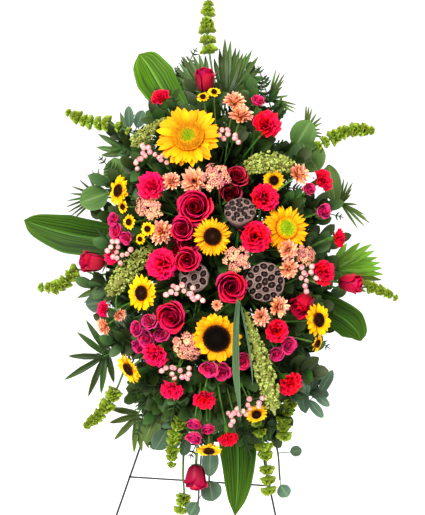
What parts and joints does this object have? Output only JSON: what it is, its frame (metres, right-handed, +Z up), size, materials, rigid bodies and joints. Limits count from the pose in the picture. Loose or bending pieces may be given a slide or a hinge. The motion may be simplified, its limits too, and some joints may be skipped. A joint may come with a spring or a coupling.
{
  "type": "standing funeral spray",
  "caption": "Standing funeral spray: sunflowers, roses, carnations, lotus pods and trailing foliage in a caged foam holder, hung on a folding black wire easel.",
  "frame": {"origin": "on the floor, under the middle of the whole object's bounding box", "axes": "+Z up, the flowers face -Y, and +X is to the viewer's right"},
  "size_m": [0.7781, 0.5846, 1.8075],
  "materials": {
    "wire_black": "semi-gloss black",
    "holder_green": "matte dark green",
    "wet_foam": "matte wet foam",
    "sunflower_yellow": "soft petals",
    "disc_green": "rough disc florets",
    "disc_brown": "rough disc florets",
    "rose_red": "velvety petals",
    "rose_crimson": "velvety petals",
    "rose_dark": "velvety petals",
    "spray_rose_pink": "soft petals",
    "carnation_red": "ruffled petals",
    "pom_peach": "soft petals",
    "yarrow_apricot": "clustered florets",
    "berry_pink": "waxy berries",
    "pod_brown": "dry woody pod",
    "tassel_green": "bunched florets",
    "bell_green": "soft green bells",
    "leaf_green": "glossy leaf",
    "lobed_green": "satin leaf",
    "palm_green": "satin leaf",
    "fern_green": "satin leaf",
    "eucalyptus_green": "powdery leaf",
    "grass_green": "satin leaf"
  },
  "bodies": {
    "front": {"amaranth_bottom": "tassel_green", "amaranth_left": "tassel_green", "amaranth_upper_left": "tassel_green", "amaranth_upper_right": "tassel_green", "aspidistra_leaf_bottom": "leaf_green", "aspidistra_leaf_left": "leaf_green", "aspidistra_leaf_right": "leaf_green", "aspidistra_leaf_top": "leaf_green", "bells_bottom_left": "bell_green", "bells_bottom_right": "bell_green", "bells_left": "bell_green", "bells_right": "bell_green", "bells_top": "bell_green", "carnations_left": "carnation_red", "carnations_right": "carnation_red", "carnations_upper": "carnation_red", "easel_front_frame": "wire_black", "eucalyptus_bottom": "eucalyptus_green", "eucalyptus_left": "eucalyptus_green", "eucalyptus_right": "eucalyptus_green", "foam_block": "wet_foam", "holder_cage": "holder_green", "holder_tray": "holder_green", "hypericum_lower": "berry_pink", "hypericum_upper": "berry_pink", "leatherleaf_left": "fern_green", "leatherleaf_right": "fern_green", "lily_grass": "grass_green", "lotus_pods": "pod_brown", "mini_sunflowers": "sunflower_yellow", "palm_frond_left": "palm_green", "palm_fronds_lower_left": "palm_green", "palm_fronds_right": "palm_green", "poms_left": "pom_peach", "poms_right": "pom_peach", "rose_bottom": "rose_red", "rose_left": "rose_red", "rose_top": "rose_red", "roses_centre": "rose_crimson", "roses_lower": "rose_crimson", "roses_right": "rose_crimson", "roses_upper": "rose_dark", "spray_roses_bottom": "spray_rose_pink", "spray_roses_left": "spray_rose_pink", "spray_roses_right": "spray_rose_pink", "sunflower_centre_disc": "disc_brown", "sunflower_centre_petals": "sunflower_yellow", "sunflower_lower_disc": "disc_brown", "sunflower_lower_petals": "sunflower_yellow", "sunflower_right_disc": "disc_green", "sunflower_right_petals": "sunflower_yellow", "sunflower_top_disc": "disc_green", "sunflower_top_petals": "sunflower_yellow", "sunflowers_small_left": "sunflower_yellow", "sunflowers_small_right": "sunflower_yellow", "xanadu_leaf_left": "lobed_green", "xanadu_leaf_right": "lobed_green", "xanadu_leaf_top": "lobed_green", "yarrow_heads": "yarrow_apricot"},
    "rear_leg": {"easel_rear_leg": "wire_black"}
  },
  "joints": [
    {"name": "rear_leg_fold", "type": "hinge", "parent": "front", "child": "rear_leg", "pos_m": [0.009, -0.01797, 1.03632], "axis": [1, 0, 0], "range_deg": [-28, 0]}
  ]
}
